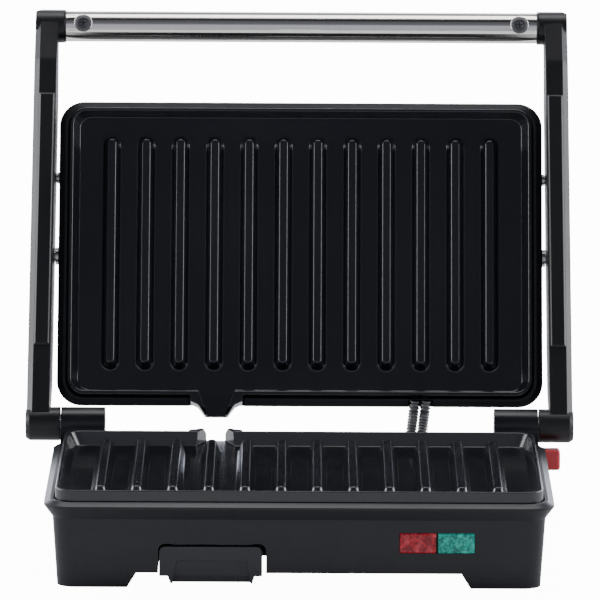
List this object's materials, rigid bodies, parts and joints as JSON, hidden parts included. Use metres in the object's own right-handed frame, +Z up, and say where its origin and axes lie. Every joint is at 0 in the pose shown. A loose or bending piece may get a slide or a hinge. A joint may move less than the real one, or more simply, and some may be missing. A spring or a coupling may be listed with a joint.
{
  "type": "panini press",
  "caption": "Open panini press: two ribbed non-stick plates, floating lid on a tube-handled frame, drip tray, lamps and a side release button.",
  "frame": {"origin": "on the table, under the middle of the outline of the press standing open at 112.5 degrees", "axes": "+X to the right of the person using it, +Y back towards the hinge, +Z up"},
  "size_m": [0.2832, 0.2778, 0.2537],
  "materials": {
    "case_plastic": "satin",
    "arm_plastic": "satin",
    "cover_plastic": "matte",
    "nonstick": "black non-stick coating",
    "stainless": "brushed",
    "conduit_steel": "gloss",
    "dark_screw": "satin",
    "zinc_screw": "satin",
    "bright_steel": "polished",
    "sheet_steel": "satin",
    "element_sheath": "matte",
    "ceramic_white": "matte",
    "fuse_sleeve": "matte",
    "red_lens": "gloss",
    "green_lens": "gloss",
    "red_button": "satin",
    "bulb_glass": "gloss",
    "black_rubber": "matte"
  },
  "bodies": {
    "base": {"base_housing": "case_plastic", "base_bottom_cover": "cover_plastic", "bottom_cover_screws": "zinc_screw", "foot_pads": "black_rubber", "lower_grill_plate": "nonstick", "lower_plate_screws": "zinc_screw", "lower_heating_element": "element_sheath", "lower_element_clips": "sheet_steel", "lower_reflector": "sheet_steel", "thermostat": "ceramic_white", "lower_thermal_fuse": "fuse_sleeve", "power_lamp_lens": "red_lens", "ready_lamp_lens": "green_lens", "lamp_holder": "cover_plastic", "indicator_bulbs": "bulb_glass", "cord_gland": "cover_plastic", "base_conduit_grommet": "black_rubber", "terminal_block": "ceramic_white", "hinge_pins": "bright_steel", "conduit_left": "conduit_steel", "conduit_right": "conduit_steel", "button_spring": "bright_steel"},
    "handle_frame": {"arm_left": "arm_plastic", "arm_right": "arm_plastic", "arm_strip_left": "arm_plastic", "arm_strip_right": "arm_plastic", "handle_tube": "stainless", "handle_end_plugs": "arm_plastic", "handle_screws": "dark_screw"},
    "lid": {"lid_frame": "case_plastic", "lid_cover": "case_plastic", "lid_cover_screws": "zinc_screw", "upper_grill_plate": "nonstick", "upper_plate_screws": "zinc_screw", "upper_heating_element": "element_sheath", "upper_element_clips": "sheet_steel", "upper_reflector": "sheet_steel", "upper_thermal_fuse": "fuse_sleeve", "lid_pivot_pins": "bright_steel", "lid_limit_pins": "bright_steel", "lid_conduit_grommet": "black_rubber"},
    "drip_tray": {"drip_tray": "case_plastic"},
    "release_button": {"release_button": "red_button"}
  },
  "joints": [
    {"name": "arm_hinge", "type": "hinge", "parent": "base", "child": "handle_frame", "pos_m": [0, 0.03594, 0.05], "axis": [-1, 0, 0], "range_deg": [-112.5, 67.5], "deforming": ["conduit_left", "conduit_right"]},
    {"name": "lid_tilt", "type": "hinge", "parent": "handle_frame", "child": "lid", "pos_m": [0, 0.09316, 0.12804], "axis": [-1, 0, 0], "range_deg": [-2.5, 2.5]},
    {"name": "tray_slide", "type": "slide", "parent": "base", "child": "drip_tray", "axis": [0, -1, 0], "range_m": [0, 0.15]},
    {"name": "button_press", "type": "slide", "parent": "base", "child": "release_button", "axis": [-1, 0, 0], "range_m": [0, 0.004], "stiffness_N_per_m": 800, "springref_m": -0.001, "deforming": ["button_spring"]}
  ]
}
